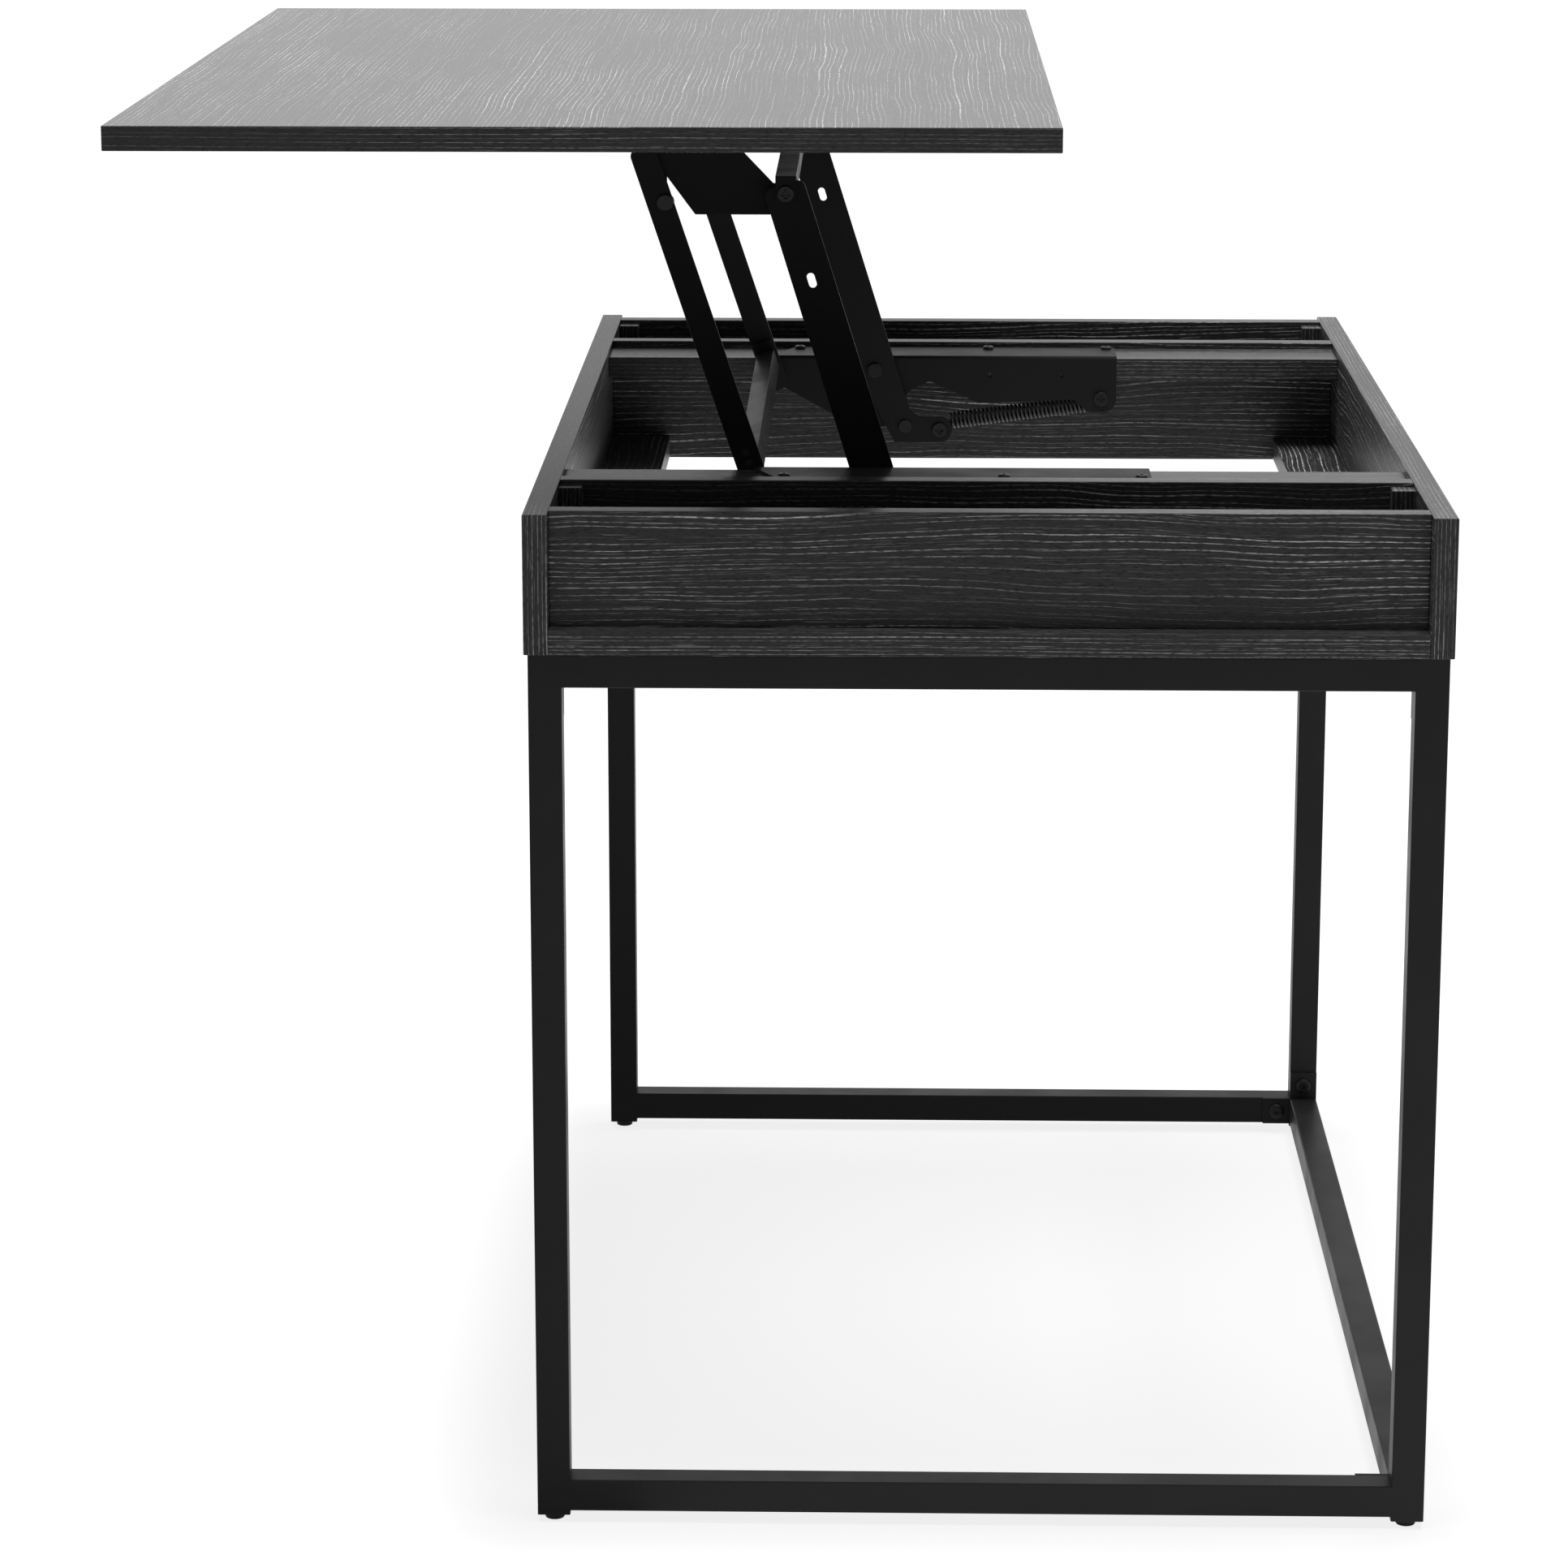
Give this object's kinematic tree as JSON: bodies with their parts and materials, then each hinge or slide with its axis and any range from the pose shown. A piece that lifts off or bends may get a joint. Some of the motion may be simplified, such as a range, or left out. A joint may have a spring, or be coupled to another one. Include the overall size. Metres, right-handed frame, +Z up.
{
  "type": "lift-top table",
  "caption": "Lift-top table: a shallow board box with storage on a square-tube frame, and a top that swings up and forward on a sprung parallel-arm mechanism.",
  "frame": {"origin": "on the floor, under the middle of the whole table's box with the top raised, as it stands at rest", "axes": "+Z up, +Y along the table's length away from the viewer, +X from the user's side towards the rear"},
  "size_m": [0.8622, 0.921, 0.9374],
  "materials": {
    "black_foil_board": "black wood-grain foil on particle board, pale brushed pores",
    "frame_steel": "fine-textured satin black powder coat",
    "mechanism_steel": "smooth satin black paint on sheet steel",
    "black_fastener": "black oxide, slightly worn",
    "spring_steel": "black coated spring wire",
    "foot_plastic": "matte black moulded plastic"
  },
  "bodies": {
    "base": {"box_screws": "black_fastener", "bracket_screws": "black_fastener", "corner_battens": "black_foil_board", "corner_plates": "frame_steel", "far_apron": "black_foil_board", "far_base_bracket": "mechanism_steel", "far_bottom": "black_foil_board", "far_end_lower_rail": "frame_steel", "far_end_top_rail": "frame_steel", "far_front_foot": "foot_plastic", "far_front_leg": "frame_steel", "far_inner_board": "black_foil_board", "far_mechanism_rail": "black_foil_board", "far_rear_foot": "foot_plastic", "far_rear_leg": "frame_steel", "frame_bolts": "black_fastener", "front_side_bottom": "black_foil_board", "front_side_panel": "black_foil_board", "front_top_rail": "frame_steel", "narrow_arm_pivots": "black_fastener", "narrow_arm_spacers": "black_fastener", "near_apron": "black_foil_board", "near_base_bracket": "mechanism_steel", "near_bottom": "black_foil_board", "near_end_lower_rail": "frame_steel", "near_end_top_rail": "frame_steel", "near_front_foot": "foot_plastic", "near_front_leg": "frame_steel", "near_inner_board": "black_foil_board", "near_mechanism_rail": "black_foil_board", "near_rear_foot": "foot_plastic", "near_rear_leg": "frame_steel", "rear_lower_rail": "frame_steel", "rear_side_bottom": "black_foil_board", "rear_side_panel": "black_foil_board", "rear_top_rail": "frame_steel", "spring_rear_bolts": "black_fastener", "wide_arm_pivots": "black_fastener", "wide_arm_spacers": "black_fastener"},
    "wide_arms": {"near_wide_arm": "mechanism_steel", "far_wide_arm": "mechanism_steel", "upper_cross_bar": "mechanism_steel", "upper_pivot_bolts": "black_fastener", "upper_pivot_nuts": "black_fastener", "upper_pivot_spacers": "black_fastener", "stop_rivets": "black_fastener", "spring_front_studs": "black_fastener"},
    "narrow_arms": {"near_narrow_arm": "mechanism_steel", "far_narrow_arm": "mechanism_steel", "lower_cross_bar": "mechanism_steel", "cross_bar_screws": "black_fastener"},
    "top": {"lid": "black_foil_board", "near_top_bracket": "mechanism_steel", "far_top_bracket": "mechanism_steel", "top_bracket_screws": "black_fastener", "lid_pivot_pins": "black_fastener"},
    "spring_rear": {"spring_rear_halves": "spring_steel"},
    "spring_front": {"spring_front_halves": "spring_steel"}
  },
  "joints": [
    {"name": "lift", "type": "hinge", "parent": "base", "child": "wide_arms", "pos_m": [0.0548, 0, 0.67587], "axis": [0, 1, 0], "range_deg": [0, 117.06]},
    {"name": "narrow_arm_swing", "type": "hinge", "parent": "base", "child": "narrow_arms", "pos_m": [-0.0266, 0, 0.66907], "axis": [0, 1, 0], "range_deg": [0, 117.06]},
    {"name": "top_level", "type": "hinge", "parent": "wide_arms", "child": "top", "pos_m": [-0.0038, 0, 0.8712], "axis": [0, 1, 0], "range_deg": [-117.06, 0]},
    {"name": "spring_swing", "type": "hinge", "parent": "base", "child": "spring_rear", "pos_m": [0.2312, 0, 0.65307], "axis": [0, 1, 0], "range_deg": [0, 10.59]},
    {"name": "spring_stretch", "type": "slide", "parent": "spring_rear", "child": "spring_front", "axis": [-0.9823, 0, -0.1873], "range_m": [0, 0.11291], "deforming": ["spring_rear_halves", "spring_front_halves"]}
  ],
  "couplings": [
    {"joint": "narrow_arm_swing", "follows": "lift", "ratio": 1},
    {"joint": "top_level", "follows": "lift", "ratio": -1},
    {"joint": "spring_swing", "follows": "lift", "ratio": 0.090407},
    {"joint": "spring_stretch", "follows": "lift", "m_per_rad": 0.055252}
  ]
}
